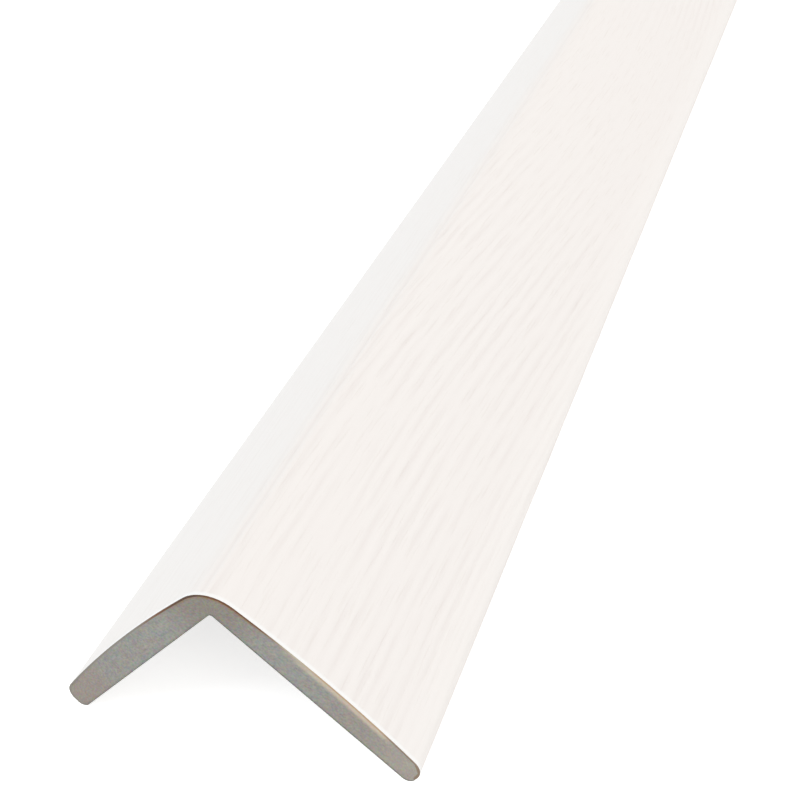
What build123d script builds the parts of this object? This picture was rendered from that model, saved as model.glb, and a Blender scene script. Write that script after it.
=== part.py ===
"""Corner trim: a right-angle moulding with crowned faces, a rounded outer corner and a decor film on its face.

The trim lies like a tent, rounded corner up, on the inner arrises of its two free edges. X runs along the
length, Y across and Z up, and the origin is on the floor under the middle of the trim. The section is drawn
leg by leg: "along" runs down the inner face from the inner corner, and "out" is square to it, towards the
outer face.
"""

from build123d import *
import os
from math import sqrt

# Driving dimensions, in millimetres, each over the film unless the core is named
LENGTH = 1000.0  # as sold, the shortest of the stock lengths
LEG_WIDTH = 28.0  # each leg, measured across the outside
CROWN_THICKNESS = 3.4  # leg at the top of its crown
CROWN_FROM_CORNER = 12.5  # top of the crown, along the leg from the inner corner
ROOT_THICKNESS = 2.45  # leg where the two outer faces would meet in a point
EDGE_THICKNESS = 2.75  # leg at its free edge
CORNER_RADIUS = 4.0  # rounded outer corner
EDGE_RADIUS = 1.75  # outer arris of each free edge
ARRIS_RADIUS = 0.8  # inner arris of each free edge, on the core
INNER_FILLET = 0.3  # inner corner, on the core
FILM_THICKNESS = 0.25  # embossed decor film, wrapped over the outer face

# The two arrises of a free edge share its thickness, so each is limited to its part of that wall
EDGE_RADIUS_SHARE = 0.64
ARRIS_RADIUS_SHARE = 0.32

LEG_INSIDE = LEG_WIDTH - CROWN_THICKNESS
BARE_EDGE = EDGE_THICKNESS - FILM_THICKNESS
OUTER_ARRIS = min(EDGE_RADIUS, EDGE_RADIUS_SHARE * EDGE_THICKNESS)
INNER_ARRIS = min(ARRIS_RADIUS, ARRIS_RADIUS_SHARE * BARE_EDGE)
SIDES = (1, -1)


def leg_point(side, along, out):
    """A point of one leg, as Y and Z with the inner corner at the origin."""
    return (side * (along + out) / sqrt(2), (out - along) / sqrt(2))


def rounded(sketch, radius, *corners):
    """The sketch with these corners rounded."""
    for corner in corners:
        vertex = sketch.vertices().sort_by_distance(corner)[0]
        sketch = fillet(vertex, radius)
    return sketch


def section(bare):
    """The whole section with a layer of this thickness taken off its outer faces and free edges."""
    tip = LEG_INSIDE - bare
    root = ROOT_THICKNESS - bare
    edge = EDGE_THICKNESS - bare
    inner_corner = leg_point(1, 0, 0)
    outer_corner = leg_point(1, -root, root)
    outer_arrises = [leg_point(side, tip, edge) for side in SIDES]
    inner_arrises = [leg_point(side, tip, 0) for side in SIDES]
    outline = Curve()
    for side, outer_arris, inner_arris in zip(SIDES, outer_arrises, inner_arrises):
        crown = leg_point(side, CROWN_FROM_CORNER, CROWN_THICKNESS - bare)
        outline += Line(inner_corner, inner_arris)
        outline += Line(inner_arris, outer_arris)
        outline += ThreePointArc(outer_arris, crown, outer_corner)
    sketch = make_face(outline)
    sketch = rounded(sketch, CORNER_RADIUS - bare, outer_corner)
    sketch = rounded(sketch, OUTER_ARRIS - bare, *outer_arrises)
    sketch = rounded(sketch, INNER_ARRIS, *inner_arrises)
    return rounded(sketch, INNER_FILLET, inner_corner)


def outer_side(out):
    """Everything further out than this from both inner faces, as far as the film can reach."""
    right, left = SIDES
    return make_face(
        Polyline(
            leg_point(right, -out, out),
            leg_point(right, LEG_WIDTH, out),
            leg_point(right, LEG_WIDTH, LEG_WIDTH),
            leg_point(right, -LEG_WIDTH, LEG_WIDTH),
            leg_point(left, LEG_WIDTH, LEG_WIDTH),
            leg_point(left, LEG_WIDTH, out),
            close=True,
        )
    )


def stock(sketch):
    """The section run out to the stock length, lying with the core's inner arrises on the floor."""
    arris_centre = leg_point(1, LEG_INSIDE - INNER_ARRIS, INNER_ARRIS)
    floor = arris_centre[1] - INNER_ARRIS
    start = Plane.YZ.offset(-LENGTH / 2)
    return Pos(Z=-floor) * extrude(start * sketch, LENGTH)


# Decor film: one sheet over both outer faces, turned round the outer arris on to each free edge
film_end = EDGE_THICKNESS - OUTER_ARRIS
film_section = (section(0) - section(FILM_THICKNESS)) & outer_side(film_end)
decor_film = stock(film_section)

# Core: the machined profile that gives the trim its shape. It is bare on its inner faces and cut ends, and on
# its free edges past the film, where it stands level with the film
core_section = section(0) - film_section
core = stock(core_section)

os.makedirs("parts", exist_ok=True)
export_step(core, "parts/core.step")
export_step(decor_film, "parts/decor_film.step")
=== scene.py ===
"""Corner trim: a fibreboard angle with a cream wood-grain film over its outer faces, lying like a tent."""

from math import atan2, pi, radians, sqrt

import bmesh
import bpy
import numpy as np
from mathutils import Matrix, Vector


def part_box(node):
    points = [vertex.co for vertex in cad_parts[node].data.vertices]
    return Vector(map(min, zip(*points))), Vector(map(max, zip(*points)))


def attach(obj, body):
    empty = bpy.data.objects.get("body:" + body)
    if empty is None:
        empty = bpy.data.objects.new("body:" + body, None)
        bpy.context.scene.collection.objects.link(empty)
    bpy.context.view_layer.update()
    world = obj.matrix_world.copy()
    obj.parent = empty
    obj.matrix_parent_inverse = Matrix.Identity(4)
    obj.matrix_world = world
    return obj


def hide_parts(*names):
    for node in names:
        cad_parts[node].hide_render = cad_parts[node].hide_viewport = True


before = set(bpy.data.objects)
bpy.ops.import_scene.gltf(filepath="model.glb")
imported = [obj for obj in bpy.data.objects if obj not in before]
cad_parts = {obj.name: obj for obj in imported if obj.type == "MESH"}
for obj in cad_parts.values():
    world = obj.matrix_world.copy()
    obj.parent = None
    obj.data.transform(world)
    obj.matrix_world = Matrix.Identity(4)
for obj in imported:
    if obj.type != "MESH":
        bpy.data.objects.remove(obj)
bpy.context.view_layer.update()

# Core
# A right-angled profile machined from grey-brown fibreboard. Its inner faces are sanded flat for glue, its
# free edges are rounded over, and both ends are sawn square.
MM = 0.001
LEG_WIDTH = 28.0 * MM
CROWN_THICKNESS = 3.4 * MM
CROWN_FROM_CORNER = 12.5 * MM
ROOT_THICKNESS = 2.45 * MM
EDGE_THICKNESS = 2.75 * MM
CORNER_RADIUS = 4.0 * MM
EDGE_RADIUS = 1.75 * MM
ARRIS_RADIUS = 0.8 * MM
INNER_FILLET = 0.3 * MM
FILM_THICKNESS = 0.25 * MM
FILM_END = EDGE_THICKNESS - EDGE_RADIUS
LEG_INSIDE = LEG_WIDTH - CROWN_THICKNESS
INNER_CORNER_HEIGHT = (LEG_INSIDE - 2 * ARRIS_RADIUS) / sqrt(2) + ARRIS_RADIUS
BARE_EDGE_STEPS = 2  # as many as the film's end and the shoulder past it have on the outer side
SURFACE_PLACES = "surface_metres"  # a mesh's layer of places on its surface
JOIN_DISTANCE = 0.0001 * MM
SHARP_ANGLE = 40  # degrees

core_low, core_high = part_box("core")
NEAR_END = core_low.x
FAR_END = core_high.x

UP = np.array([0.0, 1.0])
ALONG = np.array([1.0, -1.0]) / sqrt(2)
OUT = np.array([1.0, 1.0]) / sqrt(2)


def leg_point(along, out):
    """A point of the +Y leg as Y and Z: along its inner face from the inner corner, and out from it."""
    return along * ALONG + out * OUT + INNER_CORNER_HEIGHT * UP


def circle_through(a, b, c):
    """Centre and radius of the circle through three points."""
    rows = np.array([b - a, c - a])
    centre = np.linalg.solve(2 * rows, [b @ b - a @ a, c @ c - a @ a])
    return centre, np.linalg.norm(a - centre)


def line_points(start, end, steps):
    """Points of a line after its first one."""
    share = np.arange(1, steps + 1)[:, None] / steps
    return start + (end - start) * share


def arc_points(centre, radius, start, end, steps):
    """Points of an arc after its first one, between two directions from its centre, the short way round."""
    first = atan2(start[1], start[0])
    turn = (atan2(end[1], end[0]) - first + pi) % (2 * pi) - pi
    angles = first + turn * np.arange(1, steps + 1) / steps
    return centre + radius * np.stack([np.cos(angles), np.sin(angles)], axis=1)


def both_legs(half):
    """An outline from the -Y nose over the corner to the +Y nose, from its +Y half, corner first."""
    return np.vstack([half[:0:-1] * [-1, 1], half])


def outer_outline(bare, corner_steps, face_steps, arris_steps):
    """The outer outline as far as the film goes, with a layer of this thickness taken off."""
    tip = LEG_INSIDE - bare
    root = ROOT_THICKNESS - bare
    crown, crown_radius = circle_through(
        leg_point(tip, EDGE_THICKNESS - bare),
        leg_point(CROWN_FROM_CORNER, CROWN_THICKNESS - bare),
        leg_point(-root, root),
    )
    corner_radius = CORNER_RADIUS - bare
    reach = crown_radius - corner_radius
    corner = np.array([0.0, crown[1] + sqrt(reach**2 - crown[0] ** 2)])
    corner_end = (corner - crown) / reach
    edge_radius = EDGE_RADIUS - bare
    reach = crown_radius - edge_radius
    aside = (crown - leg_point(tip - edge_radius, 0)) @ ALONG
    rise = (crown - leg_point(0, 0)) @ OUT + sqrt(reach**2 - aside**2)
    edge = leg_point(tip - edge_radius, rise)
    edge_start = (edge - crown) / reach
    half = [
        [corner + corner_radius * UP],
        arc_points(corner, corner_radius, UP, corner_end, corner_steps),
        arc_points(crown, crown_radius, corner_end, edge_start, face_steps),
        arc_points(edge, edge_radius, edge_start, ALONG, arris_steps),
        [leg_point(tip, FILM_END)],
    ]
    return both_legs(np.vstack(half))


def inner_outline(corner_steps, face_steps, arris_steps):
    """The core's inner outline from nose to nose, with the bare part of each free edge."""
    fillet = leg_point(INNER_FILLET, -INNER_FILLET)
    arris = leg_point(LEG_INSIDE - ARRIS_RADIUS, ARRIS_RADIUS)
    half = [
        [fillet + INNER_FILLET * UP],
        arc_points(fillet, INNER_FILLET, UP, OUT, corner_steps),
        line_points(leg_point(INNER_FILLET, 0), leg_point(LEG_INSIDE - ARRIS_RADIUS, 0), face_steps),
        arc_points(arris, ARRIS_RADIUS, -OUT, ALONG, arris_steps),
        line_points(arris + ARRIS_RADIUS * ALONG, leg_point(LEG_INSIDE, FILM_END), BARE_EDGE_STEPS),
    ]
    return both_legs(np.vstack(half))


def run_along(outline):
    """Distance of each point of an outline from the middle of its corner, negative on the -Y leg."""
    steps = np.linalg.norm(np.diff(outline, axis=0), axis=1)
    length = np.concatenate([[0.0], np.cumsum(steps)])
    return length - length[len(outline) // 2]


def ease(value, start, end):
    """A smooth step from 0 to 1 as a value goes from start to end."""
    share = np.clip((value - start) / (end - start), 0, 1)
    return share * share * (3 - 2 * share)


def patchy(rng, across, down):
    """Smooth random values from -1 to 1 over two coordinates, which are counted in patches."""
    across, down = np.broadcast_arrays(across, down)
    first = np.floor([across.min(), down.min()]).astype(int)
    last = np.floor([across.max(), down.max()]).astype(int)
    values = rng.uniform(-1, 1, last - first + 2)
    i = np.floor(across).astype(int) - first[0]
    j = np.floor(down).astype(int) - first[1]
    a = ease(across % 1, 0, 1)
    d = ease(down % 1, 0, 1)
    near = values[i, j] * (1 - a) + values[i + 1, j] * a
    far = values[i, j + 1] * (1 - a) + values[i + 1, j + 1] * a
    return near * (1 - d) + far * d


def grid_faces(rows, columns, flip=False):
    """Four-sided faces over a grid of points that is stored row by row."""
    index = np.arange(rows * columns).reshape(rows, columns)
    ring = [index[:-1, :-1], index[:-1, 1:], index[1:, 1:], index[1:, :-1]]
    return np.stack(ring[::-1] if flip else ring, axis=-1).reshape(-1, 4).tolist()


def patch(kind, points, places, faces, **marks):
    """A patch of surface: its material's number, points, their places on the surface in metres, faces, and
    marks from 0 to 1 at the points for the material to read."""
    marks = {name: np.ravel(mark) for name, mark in marks.items()}
    return kind, points.reshape(-1, 3), places.reshape(-1, 2), faces, marks


def build_piece(name, materials, patches):
    """A closed mesh from patches that meet point to point along their edges."""
    kinds, points, places, faces, marks = zip(*patches)
    firsts = np.cumsum([0] + [len(part) for part in points])
    corners = [[first + corner for corner in face] for first, part in zip(firsts, faces) for face in part]
    used = np.concatenate(corners).astype(int)
    mesh = bpy.data.meshes.new(name)
    mesh.from_pydata(np.vstack(points).tolist(), [], corners)
    for material in materials:
        mesh.materials.append(material)
    mesh.polygons.foreach_set("material_index", np.repeat(kinds, [len(part) for part in faces]))
    mesh.polygons.foreach_set("use_smooth", np.ones(len(corners), dtype=bool))
    surface = mesh.uv_layers.new(name=SURFACE_PLACES)
    surface.data.foreach_set("uv", np.vstack(places)[used].astype(np.float32).ravel())
    for mark in sorted(set().union(*marks)):
        values = [part.get(mark, np.zeros(len(own))) for part, own in zip(marks, points)]
        attribute = mesh.attributes.new(mark, "FLOAT", "CORNER")
        attribute.data.foreach_set("value", np.concatenate(values)[used].astype(np.float32))
    joined = bmesh.new()
    joined.from_mesh(mesh)
    bmesh.ops.remove_doubles(joined, verts=joined.verts, dist=JOIN_DISTANCE)
    joined.to_mesh(mesh)
    joined.free()
    mesh.set_sharp_from_angle(angle=radians(SHARP_ANGLE))
    piece = bpy.data.objects.new(name, mesh)
    bpy.context.collection.objects.link(piece)
    return piece


# The sawn ends have a grid of points from the inner outline to the outer one, for the slight relief of torn
# fibres. The faces run straight from end to end, and past the film a shoulder brings the bare free edge
# level with it. An outline's steps are those over half its corner, along a face and round an arris.
CORE_SEED = 11
CORE_STEPS = (10, 74, 10)
CORE_DEPTH_STEPS = 22
TORN_PATCH = 0.5 * MM
TORN_DEPTH = 0.012 * MM
SAWN, SANDED = 0, 1
core_rng = np.random.default_rng(CORE_SEED)
shoulder = leg_point(LEG_INSIDE, FILM_END)
core_outside = np.vstack([shoulder * [-1, 1], outer_outline(FILM_THICKNESS, *CORE_STEPS), shoulder])
core_inside = inner_outline(*CORE_STEPS)
inwards = np.linspace(1, 0, CORE_DEPTH_STEPS + 1)
end_grid = core_outside[:, None] + (core_inside - core_outside)[:, None] * inwards[None, :, None]
core_thickness = np.linalg.norm(core_outside - core_inside, axis=1)
end_depth = core_thickness[:, None] * inwards[None]
end_height = core_thickness[:, None] * (1 - inwards)[None]
end_run = np.broadcast_to(run_along(core_outside)[:, None], end_depth.shape)

# Marks of the saw and the glue on the sawn ends, and one painted shade. Heat browned the +Y leg at its tip,
# and the -Y leg from half way on with a paler tip. It also darkened the corner and scorched its outer side.
# Glue squeezed out in a pale line along the outer side of the -Y leg. The arris of the inner side is
# darkened with painted shade, where it turns away from the light. A pair of lengths is where a mark starts
# and where it is full, along the outer side from the corner or in from that side.
PLUS_Y_BROWNED = (16 * MM, 24 * MM)
PLUS_Y_BROWNING = 0.6
MINUS_Y_BROWNED = (-12 * MM, -18 * MM)
MINUS_Y_BROWNING = 0.35
MINUS_Y_FADED = (-19 * MM, -24 * MM)
MINUS_Y_FADING = 0.35
CORNER_REACH = (8 * MM, 2.5 * MM)
CORNER_DARKENING = 0.7
SCORCH_SIDES = (1.5 * MM, -1.5 * MM)
LEAST_SCORCH = 0.4
MORE_SCORCH = 0.5
SCORCH_REACH = 0.3 * MM
GLUE_START = (-7 * MM, -12 * MM)
GLUE_END = (-22.5 * MM, -20 * MM)
GLUE_REACH = (0.75 * MM, 0.2 * MM)
GLUE_SHARE = 0.8
GLUE_UNEVENNESS = 0.15
GLUE_PATCH_LENGTH = 3 * MM
GLUE_PATCH_WIDTH = 1 * MM
ARRIS_SHADE_REACH = 0.28 * MM
MINUS_Y_ARRIS_SHADE = 1
PLUS_Y_ARRIS_SHADE = 0.6
by_corner = ease(np.abs(end_run), *CORNER_REACH)
by_glue = ease(end_run, *GLUE_START) * ease(end_run, *GLUE_END)
scorching = LEAST_SCORCH + MORE_SCORCH * ease(end_run, *SCORCH_SIDES)
browned = PLUS_Y_BROWNING * ease(end_run, *PLUS_Y_BROWNED)
browned += MINUS_Y_BROWNING * ease(end_run, *MINUS_Y_BROWNED)
# Painted shade along the inner arris of each sawn end, fullest on the -Y leg.
arris = np.where(end_run < 0, MINUS_Y_ARRIS_SHADE, PLUS_Y_ARRIS_SHADE)
core_patches = []
for x, facing in ((NEAR_END, -1), (FAR_END, 1)):
    torn = patchy(core_rng, end_grid[..., 0] / TORN_PATCH, end_grid[..., 1] / TORN_PATCH)
    torn = TORN_DEPTH * (torn + 1) / 2
    torn[[0, -1]] = 0
    torn[:, [0, -1]] = 0
    uneven = patchy(core_rng, end_run / GLUE_PATCH_LENGTH, end_depth / GLUE_PATCH_WIDTH)
    core_patches.append(
        patch(
            SAWN,
            np.dstack([x - facing * torn, end_grid]),
            np.dstack([end_run, end_depth]),
            grid_faces(*torn.shape, flip=facing > 0),
            browned=browned,
            faded=MINUS_Y_FADING * ease(end_run, *MINUS_Y_FADED),
            corner=CORNER_DARKENING * by_corner,
            scorched=scorching * by_corner * ease(end_depth, SCORCH_REACH, 0),
            glued=(GLUE_SHARE + GLUE_UNEVENNESS * uneven) * by_glue * ease(end_depth, *GLUE_REACH),
            arris=arris * ease(end_height, ARRIS_SHADE_REACH, 0),
        )
    )
for outline, flip in ((core_outside, True), (core_inside, False)):
    sides = np.stack([np.column_stack([np.full(len(outline), x), outline]) for x in (NEAR_END, FAR_END)])
    places = np.dstack([sides[..., 0] - NEAR_END, np.tile(run_along(outline), (2, 1))])
    core_patches.append(patch(SANDED, sides, places, grid_faces(*sides.shape[:2], flip)))


def linear(code):
    """An sRGB hex colour as linear RGBA."""
    shades = [int(code[i : i + 2], 16) / 255 for i in (1, 3, 5)]
    return [s / 12.92 if s <= 0.04045 else ((s + 0.055) / 1.055) ** 2.4 for s in shades] + [1.0]


def add_node(owner, kind, settings=(), links=(), stops=()):
    """A node with its properties and inputs set, its inputs linked to outputs or to the first outputs of
    other nodes, and the stops of its colour ramp."""
    node = owner.node_tree.nodes.new(kind)
    for name, value in dict(settings).items():
        if isinstance(name, int) or name in node.inputs:
            node.inputs[name].default_value = value
        else:
            setattr(node, name, value)
    for name, source in dict(links).items():
        output = source.outputs[0] if isinstance(source, bpy.types.Node) else source
        owner.node_tree.links.new(output, node.inputs[name])
    for number, (position, code) in enumerate(stops):
        elements = node.color_ramp.elements
        element = elements[number] if number < 2 else elements.new(position)
        element.position = position
        element.color = linear(code)
    return node


def new_material(name):
    """A material with no nodes in it yet."""
    material = bpy.data.materials.new(name)
    material.use_nodes = True
    material.node_tree.nodes.clear()
    return material


# Sawn fibreboard: a dull mat of short fibres in soft clumps, grey with rosy and bluish tints, speckled all
# over by single fibres. Those are about 0.05 mm wide in real board, and drawn coarser here to show
SAWN_DARK = "#8E8C85"
SAWN_GREY = "#9A9892"
SAWN_PALE = "#A6A49D"
SAWN_ROSY = "#A7948B"
SAWN_BLUISH = "#8D9897"
SAWN_MARKS = {
    "browned": "#A09085",
    "faded": "#BBB2A4",
    "corner": "#8B8176",
    "scorched": "#936A42",
    "glued": "#D0C0AB",
    # the arris mark is a painted shade along the inner arris
    "arris": "#6C6B63",
}
CLUMP_SIZE = 0.8 * MM
TINT_SIZE = 1.2 * MM
FIBRE_SIZE = 0.25 * MM
FIBRE_HEIGHT = 0.03 * MM
SAWN_STOPS = (0.35, 0.5, 0.65)
FIBRE_SHARE = 0.5
TINT_SHARE = 0.3
SPECKLE_SHARE = 0.13
sawn = new_material("sawn fibreboard")
place = add_node(sawn, "ShaderNodeUVMap", {"uv_map": SURFACE_PLACES})
clumps = add_node(sawn, "ShaderNodeTexNoise", {"Scale": 1 / CLUMP_SIZE, "Detail": 3.0}, {"Vector": place})
tints = add_node(sawn, "ShaderNodeTexNoise", {"Scale": 1 / TINT_SIZE, "Detail": 2.0}, {"Vector": place})
fibres = add_node(sawn, "ShaderNodeTexNoise", {"Scale": 1 / FIBRE_SIZE, "Detail": 3.0}, {"Vector": place})
clump_tone = add_node(
    sawn,
    "ShaderNodeValToRGB",
    links={"Fac": clumps},
    stops=zip(SAWN_STOPS, (SAWN_DARK, SAWN_GREY, SAWN_PALE)),
)
fibre_tone = add_node(
    sawn,
    "ShaderNodeValToRGB",
    links={"Fac": fibres},
    stops=zip(SAWN_STOPS, (SAWN_DARK, SAWN_GREY, SAWN_PALE)),
)
tint_tone = add_node(
    sawn,
    "ShaderNodeValToRGB",
    links={"Fac": tints},
    stops=zip(SAWN_STOPS, (SAWN_BLUISH, SAWN_GREY, SAWN_ROSY)),
)
sawn_tone = add_node(
    sawn,
    "ShaderNodeMixRGB",
    {"Fac": FIBRE_SHARE},
    {"Color1": clump_tone, "Color2": fibre_tone},
)
sawn_tone = add_node(
    sawn,
    "ShaderNodeMixRGB",
    {"Fac": TINT_SHARE},
    {"Color1": sawn_tone, "Color2": tint_tone},
)
for mark, code in SAWN_MARKS.items():
    amount = add_node(sawn, "ShaderNodeAttribute", {"attribute_name": mark}).outputs["Fac"]
    sawn_tone = add_node(
        sawn,
        "ShaderNodeMixRGB",
        {"Color2": linear(code)},
        {"Fac": amount, "Color1": sawn_tone},
    )
sawn_tone = add_node(
    sawn,
    "ShaderNodeMixRGB",
    {"blend_type": "LINEAR_LIGHT", "Fac": SPECKLE_SHARE},
    {"Color1": sawn_tone, "Color2": fibres.outputs["Color"]},
)
fibre_relief = add_node(sawn, "ShaderNodeBump", {"Distance": FIBRE_HEIGHT}, {"Height": fibres})
sawn_surface = add_node(
    sawn,
    "ShaderNodeBsdfPrincipled",
    {"Roughness": 0.85, "Specular IOR Level": 0.25},
    {"Base Color": sawn_tone, "Normal": fibre_relief},
)
add_node(sawn, "ShaderNodeOutputMaterial", links={"Surface": sawn_surface})

# Sanded fibreboard: the same board rubbed smooth along its length, with soft brown clouds and with fine
# scratches, which are drawn wider than real ones to show
SANDED_GREY = "#A19C93"
SANDED_BROWN = "#948A7D"
CLOUD_SIZE = 9 * MM
SCRATCH_WIDTH = 0.3 * MM
SCRATCH_LENGTH = 25 * MM
SCRATCH_DEPTH = 0.02 * MM
SCRATCH_SHARE = 0.5
sanded = new_material("sanded fibreboard")
place = add_node(sanded, "ShaderNodeUVMap", {"uv_map": SURFACE_PLACES})
clouds = add_node(sanded, "ShaderNodeTexNoise", {"Scale": 1 / CLOUD_SIZE, "Detail": 5.0}, {"Vector": place})
drawn_out = add_node(
    sanded,
    "ShaderNodeMapping",
    {"Scale": (1 / SCRATCH_LENGTH, 1 / SCRATCH_WIDTH, 1)},
    {"Vector": place},
)
scratches = add_node(sanded, "ShaderNodeTexNoise", {"Scale": 1.0, "Detail": 3.0}, {"Vector": drawn_out})
cloud_tone = add_node(
    sanded,
    "ShaderNodeValToRGB",
    links={"Fac": clouds},
    stops=((0.35, SANDED_GREY), (0.7, SANDED_BROWN)),
)
scratch_tone = add_node(
    sanded,
    "ShaderNodeValToRGB",
    links={"Fac": scratches},
    stops=((0.4, SANDED_GREY), (0.75, SANDED_BROWN)),
)
sanded_tone = add_node(
    sanded,
    "ShaderNodeMixRGB",
    {"Fac": SCRATCH_SHARE},
    {"Color1": cloud_tone, "Color2": scratch_tone},
)
scratch_relief = add_node(sanded, "ShaderNodeBump", {"Distance": SCRATCH_DEPTH}, {"Height": scratches})
sanded_surface = add_node(
    sanded,
    "ShaderNodeBsdfPrincipled",
    {"Roughness": 0.75, "Specular IOR Level": 0.3},
    {"Base Color": sanded_tone, "Normal": scratch_relief},
)
add_node(sanded, "ShaderNodeOutputMaterial", links={"Surface": sanded_surface})

core_piece = build_piece("fibreboard_core", [sawn, sanded], core_patches)
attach(core_piece, "root")
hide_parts("core")

# Decor film
# A quarter-millimetre PVC film, cream with a wood grain embossed along its length. It is glued over both
# outer faces and turned round the outer arris of each free edge. Its edge is a thin line on the sawn ends.
FILM_SEED = 29
FILM_FINENESS = 6  # times as many steps as the core's outline has
EMBOSSED, SAWN_EDGE, GLUED = 0, 1, 2

film_rng = np.random.default_rng(FILM_SEED)
film_outline = outer_outline(0, *(FILM_FINENESS * steps for steps in CORE_STEPS))
outline_run = run_along(film_outline)
film_half = outline_run[-1]
outline_normal = np.gradient(film_outline, outline_run, axis=0)[:, ::-1] * [-1, 1]
outline_normal /= np.linalg.norm(outline_normal, axis=1)[:, None]


def on_film(run):
    """The outer face's points and outward directions, as Y and Z, at distances from the corner's middle."""
    point = [np.interp(run, outline_run, film_outline[:, axis]) for axis in (0, 1)]
    normal = [np.interp(run, outline_run, outline_normal[:, axis]) for axis in (0, 1)]
    return np.stack(point, axis=-1), np.stack(normal, axis=-1)


# The rows of points are close together near the first end, and closest in the last bit of each end, where
# the saw rubbed the grain flat and the film is painted nearly white as a painted highlight. The back of the
# film has every eighth row, with one at each end.
CLOSE_LENGTH = 170 * MM
CLOSE_STEPS = 253
FAR_STEPS = 312
RUBBED_LENGTH = 0.25 * MM
END_ROWS = 3
BACK_ROW_STEP = 8
stock_length = FAR_END - NEAR_END
first_rows = np.arange(END_ROWS) * RUBBED_LENGTH
close = np.linspace(first_rows[-1], CLOSE_LENGTH, CLOSE_STEPS, endpoint=False)
distant = np.linspace(CLOSE_LENGTH, stock_length - first_rows[-1], FAR_STEPS)
lengthways = np.concatenate([first_rows[:-1], close, distant, stock_length - first_rows[-2::-1]])[:, None]
rubbed = np.zeros_like(lengthways)
rubbed[: END_ROWS - 1] = 1
rubbed[1 - END_ROWS :] = 1

# Each grain line is a shallow groove. One follows the ridge from end to end. On the -Y leg the others
# slowly leave it for the free edge and come back, and lie together at the leg's sides where they are not on
# it. On the +Y leg they keep to the ridge's direction. All but the one at the ridge wander and wobble.
GRAIN_SPACING = 1.4 * MM
SPACING_JITTER = 0.22
RIDGE_LINE = 0.6 * MM
GRAIN_DRIFT = 9.6 * MM
DRIFT_START = 5 * MM
DRIFT_REPEAT = 300 * MM
WANDER = 0.8 * MM
WANDER_LENGTH = 50 * MM
WANDER_WIDTH = 25 * MM
WOBBLE = 0.12 * MM
WOBBLE_LENGTH = 5 * MM
LEAST_GAP = 0.05 * MM
OWN_ROWS = 7.0  # between the rows of random values of one line and the next
ridge = int((film_half + RIDGE_LINE + GRAIN_DRIFT) / GRAIN_SPACING)
line_count = ridge + 1 + int((film_half - RIDGE_LINE) / GRAIN_SPACING)
line_number = np.arange(line_count)
line_base = (line_number + 0.5) * GRAIN_SPACING - film_half
line_base[ridge:] = RIDGE_LINE + (line_number[ridge:] - ridge) * GRAIN_SPACING
jitter = film_rng.uniform(-SPACING_JITTER, SPACING_JITTER, line_count) * GRAIN_SPACING
line_base += jitter * (line_number != ridge)
own_row = line_number[None] * OWN_ROWS
drift = GRAIN_DRIFT / 2 * (1 - np.cos(2 * pi * (lengthways - DRIFT_START) / DRIFT_REPEAT))
line_run = line_base - drift * (line_number < ridge)
on_leg = np.clip(line_run, -film_half, np.where(line_number < ridge, RIDGE_LINE, film_half))
wander = WANDER * patchy(film_rng, lengthways / WANDER_LENGTH, on_leg / WANDER_WIDTH)
wander *= np.sin(pi * np.abs(on_leg) / film_half)
wobble = WOBBLE * patchy(film_rng, lengthways / WOBBLE_LENGTH, own_row)
line_run += wander + wobble
line_run[:, ridge] = RIDGE_LINE
leaving = line_run[:, :ridge]
leaving[leaving < LEAST_GAP - film_half] = -film_half
leaving[leaving > RIDGE_LINE - LEAST_GAP] = RIDGE_LINE

# How deep a line is pressed, as a share of the full depth. Long and short strokes come and go along it. It
# is fainter in some fields than in others, and fades and returns once in each turn of the embossing roller.
# The +Y leg is pressed less than the other, the line at the ridge is firm, and lines fade at the -Y edge.
MEAN_STRENGTH = 0.5
STROKE_SHARE = 0.5
STROKE_LENGTH = 6 * MM
SHORT_STROKE_SHARE = 0.25
SHORT_STROKE_LENGTH = 3 * MM
FIELD_SHARE = 0.3
FIELD_LENGTH = 40 * MM
FIELD_WIDTH = 6 * MM
ROLLER_REPEAT = 200 * MM
ROLLER_START = 15 * MM
ROLLER_MEAN = 0.75
ROLLER_SWING = 0.6
FAINTER_SIDE = (-1 * MM, 3 * MM)
FAINTER_SHARE = 0.6
LEAST_STRENGTH = 0.05
RIDGE_MEAN = 0.75
RIDGE_SWING = 0.25
RIDGE_REACH = 0.5 * MM
EDGE_FADE = 1 * MM
strength = MEAN_STRENGTH + STROKE_SHARE * patchy(film_rng, lengthways / STROKE_LENGTH, own_row)
strength += SHORT_STROKE_SHARE * patchy(film_rng, lengthways / SHORT_STROKE_LENGTH, own_row)
strength += FIELD_SHARE * patchy(film_rng, lengthways / FIELD_LENGTH, on_leg / FIELD_WIDTH)
roller = np.sin(2 * pi * (lengthways + ROLLER_START) / ROLLER_REPEAT)
strength *= ROLLER_MEAN + ROLLER_SWING * roller
strength *= 1 - FAINTER_SHARE * ease(on_leg, *FAINTER_SIDE)
strength = np.clip(strength, LEAST_STRENGTH, 1)
ridge_strength = RIDGE_MEAN + RIDGE_SWING * roller
strength += (ridge_strength - strength) * ease(np.abs(line_run - RIDGE_LINE), RIDGE_REACH, 0)
strength *= ease(line_run, -film_half, EDGE_FADE - film_half) * (1 - rubbed)

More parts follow.
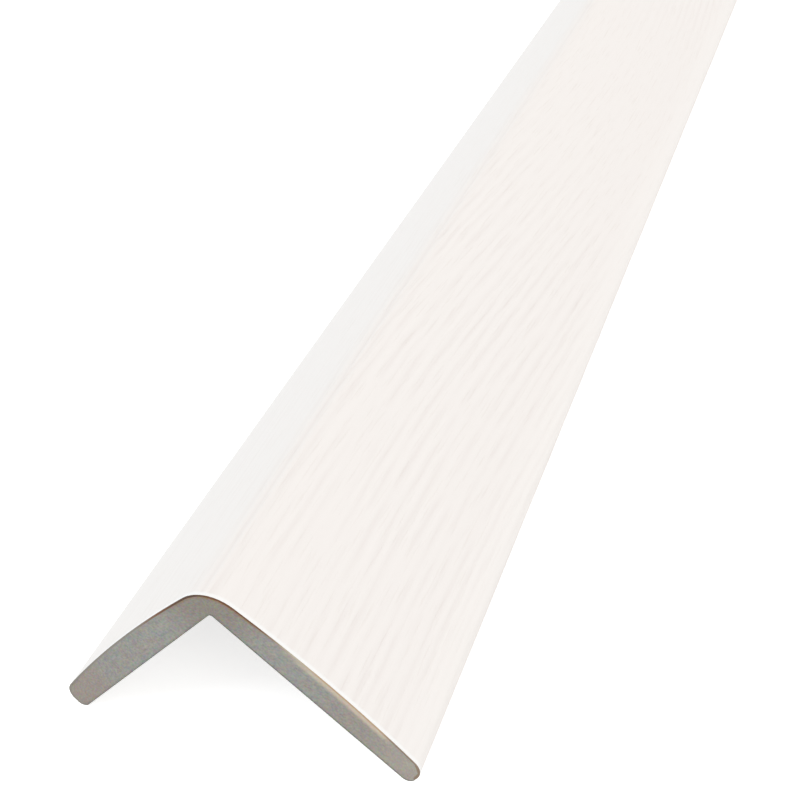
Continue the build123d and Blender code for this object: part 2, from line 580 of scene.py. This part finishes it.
# A line has a column of points along its bottom, one half way up each side and one on the top beside it.
# The grain mark is 1 at the bottom of a full groove, 0 on the top beside it, and LEVEL where there is no
# grain. Lines that run together make one groove.
GRAIN_DEPTH = 0.08 * MM
LINE_COLUMNS = 4
BACK_COLUMN_STEP = LINE_COLUMNS
LEVEL = 0.5
APART = 0.5 * GRAIN_SPACING
bottoms = slice(LINE_COLUMNS // 2, None, LINE_COLUMNS)
tops = slice(LINE_COLUMNS, -1, LINE_COLUMNS)
film_run = np.empty((len(lengthways), LINE_COLUMNS * line_count + 1))
film_run[:, 0] = -film_half
film_run[:, bottoms] = line_run
film_run[:, tops] = (line_run[:, 1:] + line_run[:, :-1]) / 2
film_run[:, -1] = film_half
film_run[:, 1::2] = (film_run[:, 0:-1:2] + film_run[:, 2::2]) / 2
grain = np.full_like(film_run, LEVEL)
grain[:, bottoms] += LEVEL * strength
beside = (strength[:, 1:] + strength[:, :-1]) / 2
apart = ease(line_run[:, 1:] - line_run[:, :-1], 0, APART)
grain[:, tops] += LEVEL * beside * (1 - 2 * apart)
grain[:, 1::2] = (grain[:, 0:-1:2] + grain[:, 2::2]) / 2

# The places that the pores are drawn by drift with the lines of the -Y leg, so that the pores follow them.
film_lengths = np.broadcast_to(lengthways, film_run.shape)
ridge_column = LINE_COLUMNS * ridge + LINE_COLUMNS // 2
drifting = np.arange(film_run.shape[1]) < ridge_column
film_places = np.dstack([film_lengths, film_run + drift * drifting])
film_face, film_normal = on_film(film_run)
embossed = film_face - film_normal * (GRAIN_DEPTH * grain)[..., None]
film_points = np.dstack([NEAR_END + film_lengths, embossed])
back_points = np.dstack([NEAR_END + film_lengths, film_face - film_normal * FILM_THICKNESS])
back_points = back_points[::BACK_ROW_STEP, ::BACK_COLUMN_STEP]
back_places = film_places[::BACK_ROW_STEP, ::BACK_COLUMN_STEP]


def edge_strip(kind, fine, coarse, step, flip, run):
    """The film's edge, from a line of points on its outer face to one on its back that has every so many."""
    count = len(fine)
    faces = []
    for number in range(len(coarse) - 1):
        top = range((number + 1) * step, number * step - 1, -1)
        face = [count + number, count + number + 1, *top]
        faces.append(face[::-1] if flip else face)
    depths = [0.0] * count + [FILM_THICKNESS] * len(coarse)
    places = np.column_stack([np.concatenate([run, run[::step]]), depths])
    return patch(kind, np.vstack([fine, coarse]), places, faces)


# The film is painted a little paler towards its edges, a painted light against the shade where its faces
# turn round the arrises.
PAINTED_LIGHT_FROM_EDGE = (7 * MM, 3 * MM)
PAINTED_LIGHT_SHARE = 0.5
film_patches = [
    patch(
        EMBOSSED,
        film_points,
        film_places,
        grid_faces(*grain.shape, flip=True),
        grain=grain,
        rubbed=np.broadcast_to(rubbed, grain.shape),
        stretched=PAINTED_LIGHT_SHARE * ease(film_half - np.abs(film_run), *PAINTED_LIGHT_FROM_EDGE),
    ),
    patch(GLUED, back_points, back_places, grid_faces(*back_points.shape[:2])),
]
for row, flip in ((0, True), (-1, False)):
    fine, coarse = film_points[row], back_points[row]
    film_patches.append(edge_strip(SAWN_EDGE, fine, coarse, BACK_COLUMN_STEP, flip, film_run[row]))
for column, flip in ((0, False), (-1, True)):
    fine, coarse = film_points[:, column], back_points[:, column]
    film_patches.append(edge_strip(GLUED, fine, coarse, BACK_ROW_STEP, flip, lengthways[:, 0]))

# Embossed PVC film: matt cream, a shade darker along the bottom of the grain and lighter on top of it, with
# fine pores along it that are painted a shade darker for the shade in their hollows. It is painted paler
# towards its edges, a painted light where the faces turn round the arrises, and painted nearly white as a
# painted highlight along the sawn ends
GRAIN_TOP = "#F8F3EF"
FILM_CREAM = "#F6F1ED"
GRAIN_BOTTOM = "#F2ECE8"
PORE_SHADE = "#FBFAF9"
FILM_PAINTED_LIGHT = "#FAF6F2"
FILM_END_HIGHLIGHT = "#FCFBF9"
PORE_LENGTH = 6 * MM
PORE_WIDTH = 0.25 * MM
PORE_DEPTH = 0.012 * MM
PORE_START = 0.54
PORE_FULL = 0.74
TOP_ROUGHNESS = 0.7
BOTTOM_ROUGHNESS = 0.8
film = new_material("embossed pvc film")
grain_depth = add_node(film, "ShaderNodeAttribute", {"attribute_name": "grain"}).outputs["Fac"]
end_highlight = add_node(film, "ShaderNodeAttribute", {"attribute_name": "rubbed"}).outputs["Fac"]
edge_light_amount = add_node(film, "ShaderNodeAttribute", {"attribute_name": "stretched"}).outputs["Fac"]
place = add_node(film, "ShaderNodeUVMap", {"uv_map": SURFACE_PLACES})
drawn_out = add_node(
    film,
    "ShaderNodeMapping",
    {"Scale": (1 / PORE_LENGTH, 1 / PORE_WIDTH, 1)},
    {"Vector": place},
)
pore_noise = add_node(film, "ShaderNodeTexNoise", {"Scale": 1.0, "Detail": 2.0}, {"Vector": drawn_out})
pores = add_node(
    film,
    "ShaderNodeMapRange",
    {"interpolation_type": "SMOOTHSTEP", "From Min": PORE_START, "From Max": PORE_FULL},
    {"Value": pore_noise},
)
film_tone = add_node(
    film,
    "ShaderNodeValToRGB",
    links={"Fac": grain_depth},
    stops=((0.0, GRAIN_TOP), (1.0, GRAIN_BOTTOM), (LEVEL, FILM_CREAM)),
)
# Painted shade in the pores, for the shade in their hollows.
film_tone = add_node(
    film,
    "ShaderNodeMixRGB",
    {"blend_type": "MULTIPLY", "Color2": linear(PORE_SHADE)},
    {"Fac": pores, "Color1": film_tone},
)
# Painted light: paler towards the film's edges.
film_tone = add_node(
    film,
    "ShaderNodeMixRGB",
    {"Color2": linear(FILM_PAINTED_LIGHT)},
    {"Fac": edge_light_amount, "Color1": film_tone},
)
# Painted highlight: nearly white along the sawn ends.
film_tone = add_node(
    film,
    "ShaderNodeMixRGB",
    {"Color2": linear(FILM_END_HIGHLIGHT)},
    {"Fac": end_highlight, "Color1": film_tone},
)
film_gloss = add_node(
    film,
    "ShaderNodeMapRange",
    {"To Min": TOP_ROUGHNESS, "To Max": BOTTOM_ROUGHNESS},
    {"Value": grain_depth},
)
pore_relief = add_node(film, "ShaderNodeBump", {"invert": True, "Distance": PORE_DEPTH}, {"Height": pores})
film_surface = add_node(
    film,
    "ShaderNodeBsdfPrincipled",
    {"IOR": 1.53, "Specular IOR Level": 0.2},
    {"Base Color": film_tone, "Roughness": film_gloss, "Normal": pore_relief},
)
add_node(film, "ShaderNodeOutputMaterial", links={"Surface": film_surface})

# Sawn film edge: the film's backing and glue, scorched dark brown where the saw ran hot over the corner,
# cream and tan along the -Y leg with a drab tip, and smeared grey along the other. Stops are in millimetres
# from the corner.
RIM_SCORCHED = "#4C3220"
RIM_BURNT = "#66401F"
RIM_BROWN = "#755036"
RIM_DRAB = "#8B7663"
RIM_TAN = "#BA9C7C"
RIM_CREAM = "#BDB199"
RIM_GREY = "#8A847B"
RIM_STOPS = (
    (-28, RIM_DRAB),
    (-22.5, RIM_DRAB),
    (-20.5, RIM_TAN),
    (-13, RIM_TAN),
    (-10.5, RIM_CREAM),
    (-9.5, RIM_CREAM),
    (-6, RIM_BROWN),
    (-4, RIM_BURNT),
    (-0.5, RIM_BURNT),
    (1, RIM_SCORCHED),
    (3, RIM_SCORCHED),
    (7, RIM_BROWN),
    (11, RIM_GREY),
)
RIM_HALF = 30
SMEAR_SIZE = 2 * MM
SMEAR = 3 * MM
sawn_film = new_material("sawn film edge")
place = add_node(sawn_film, "ShaderNodeUVMap", {"uv_map": SURFACE_PLACES})
run = add_node(sawn_film, "ShaderNodeSeparateXYZ", links={"Vector": place})
smears = add_node(
    sawn_film,
    "ShaderNodeTexNoise",
    {"Scale": 1 / SMEAR_SIZE, "Detail": 3.0},
    {"Vector": place},
)
smeared = add_node(
    sawn_film,
    "ShaderNodeMath",
    {"operation": "MULTIPLY_ADD", 1: SMEAR},
    {0: smears, 2: run},
)
rim_share = add_node(
    sawn_film,
    "ShaderNodeMapRange",
    {"From Min": SMEAR / 2 - RIM_HALF * MM, "From Max": SMEAR / 2 + RIM_HALF * MM},
    {"Value": smeared},
)
rim_tone = add_node(
    sawn_film,
    "ShaderNodeValToRGB",
    links={"Fac": rim_share},
    stops=[((at / RIM_HALF + 1) / 2, code) for at, code in RIM_STOPS],
)
rim_surface = add_node(sawn_film, "ShaderNodeBsdfPrincipled", {"Roughness": 0.7}, {"Base Color": rim_tone})
add_node(sawn_film, "ShaderNodeOutputMaterial", links={"Surface": rim_surface})

# Hot-melt glue: a dull tan skin on the film's back and along its edges
GLUE_TAN = "#B59A78"
GLUE_THIN = "#A48B6C"
GLUE_STREAK = 3 * MM
glue = new_material("hot-melt glue")
place = add_node(glue, "ShaderNodeUVMap", {"uv_map": SURFACE_PLACES})
streaks = add_node(glue, "ShaderNodeTexNoise", {"Scale": 1 / GLUE_STREAK, "Detail": 3.0}, {"Vector": place})
glue_tone = add_node(
    glue,
    "ShaderNodeValToRGB",
    links={"Fac": streaks},
    stops=((0.4, GLUE_TAN), (0.7, GLUE_THIN)),
)
glue_surface = add_node(glue, "ShaderNodeBsdfPrincipled", {"Roughness": 0.6}, {"Base Color": glue_tone})
add_node(glue, "ShaderNodeOutputMaterial", links={"Surface": glue_surface})

film_piece = build_piece("wood_grain_film", [film, sawn_film, glue], film_patches)
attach(film_piece, "root")
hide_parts("decor_film")

# Floor
# A plain sweep of white painted board that the trim lies on. It shows white to the camera and in
# reflections, and keeps the trim's soft shadow.
FLOOR_HALF = 8.0
FLOOR_WHITE = "#E6E6E6"
FLOOR_GLOW = 0.72
floor_mesh = bpy.data.meshes.new("floor")
floor_corners = [(x * FLOOR_HALF, y * FLOOR_HALF, 0.0) for x, y in ((-1, -1), (1, -1), (1, 1), (-1, 1))]
floor_mesh.from_pydata(floor_corners, [], [(0, 1, 2, 3)])
floor = bpy.data.objects.new("floor", floor_mesh)
bpy.context.collection.objects.link(floor)


def seen_directly(owner):
    """An output that is 1 where a thing is seen by the camera, in a reflection or through glass, else 0."""
    path = add_node(owner, "ShaderNodeLightPath")
    seen = path.outputs["Is Camera Ray"]
    for ray in ("Is Glossy Ray", "Is Transmission Ray"):
        seen = add_node(owner, "ShaderNodeMath", {"operation": "MAXIMUM"}, {0: seen, 1: path.outputs[ray]})
    return seen


# Flat white paint: no gloss at all, and a glow that makes it as white as the backdrop where it is seen
WHITE = "#FFFFFF"
floor_paint = new_material("flat white paint")
floor_glow = add_node(
    floor_paint,
    "ShaderNodeMath",
    {"operation": "MULTIPLY", 1: FLOOR_GLOW},
    {0: seen_directly(floor_paint)},
)
floor_surface = add_node(
    floor_paint,
    "ShaderNodeBsdfPrincipled",
    {
        "Base Color": linear(FLOOR_WHITE),
        "Roughness": 1.0,
        "Specular IOR Level": 0.0,
        "Emission Color": linear(WHITE),
    },
    {"Emission Strength": floor_glow},
)
add_node(floor_paint, "ShaderNodeOutputMaterial", links={"Surface": floor_surface})
floor_mesh.materials.append(floor_paint)

# Light
# Soft studio light: an even white surround, a neutral lamp overhead and another on the right, and a cool
# lamp low on the left, which just grazes the ridge, so that the tint of the light changes there.
SURROUND_LEVEL = 0.823
COOL = "#BDE7FF"
scene = bpy.context.scene
scene.view_settings.view_transform = "Standard"
surround = bpy.data.worlds.new("surround")
surround.use_nodes = True
surround.node_tree.nodes.clear()
surround_level = add_node(
    surround,
    "ShaderNodeMapRange",
    {"To Min": SURROUND_LEVEL, "To Max": 1.0},
    {"Value": seen_directly(surround)},
)
backdrop = add_node(
    surround,
    "ShaderNodeBackground",
    {"Color": linear(WHITE)},
    {"Strength": surround_level},
)
add_node(surround, "ShaderNodeOutputWorld", links={"Surface": backdrop})
scene.world = surround


def softbox(name, towards, strength, spread, code):
    """A distant lamp in this direction from the trim, as wide as it looks from there in degrees."""
    lamp = bpy.data.lights.new(name, "SUN")
    lamp.energy = strength
    lamp.angle = radians(spread)
    lamp.color = linear(code)[:3]
    holder = bpy.data.objects.new(name, lamp)
    holder.rotation_mode = "QUATERNION"
    holder.rotation_quaternion = Vector(towards).to_track_quat("Z", "Y")
    bpy.context.collection.objects.link(holder)


softbox("overhead", towards=(-0.45, 0.3, 0.84), strength=0.4, spread=20, code=WHITE)
softbox("right", towards=(-0.45, -0.81, 0.36), strength=0.52, spread=20, code=WHITE)
softbox("left", towards=(-0.45, 0.89, 0.09), strength=0.5, spread=10, code=COOL)

# Camera
# Close to the near end, above it and to the right of the ridge. Its place, directions and focal length were
# worked out from the trim's edges in the photograph.
CAMERA_PLACE = Vector((NEAR_END - 71.33 * MM, -50.54 * MM, INNER_CORNER_HEIGHT + 81.13 * MM))
CAMERA_FORWARD = Vector((0.754098, 0.317936, -0.574676))
CAMERA_UP = Vector((0.566423, 0.128042, 0.814107))
FOCAL_PIXELS = 1303.3
FRAME_PIXELS = 800
SENSOR_WIDTH = 36.0
camera_data = bpy.data.cameras.new("camera")
camera_data.sensor_width = SENSOR_WIDTH
camera_data.lens = FOCAL_PIXELS / FRAME_PIXELS * SENSOR_WIDTH
camera_data.clip_start = 10 * MM
camera = bpy.data.objects.new("camera", camera_data)
bpy.context.collection.objects.link(camera)
camera_axes = Matrix((CAMERA_FORWARD.cross(CAMERA_UP), CAMERA_UP, -CAMERA_FORWARD)).transposed()
camera.matrix_world = Matrix.LocRotScale(CAMERA_PLACE, camera_axes.to_quaternion(), None)
scene.camera = camera
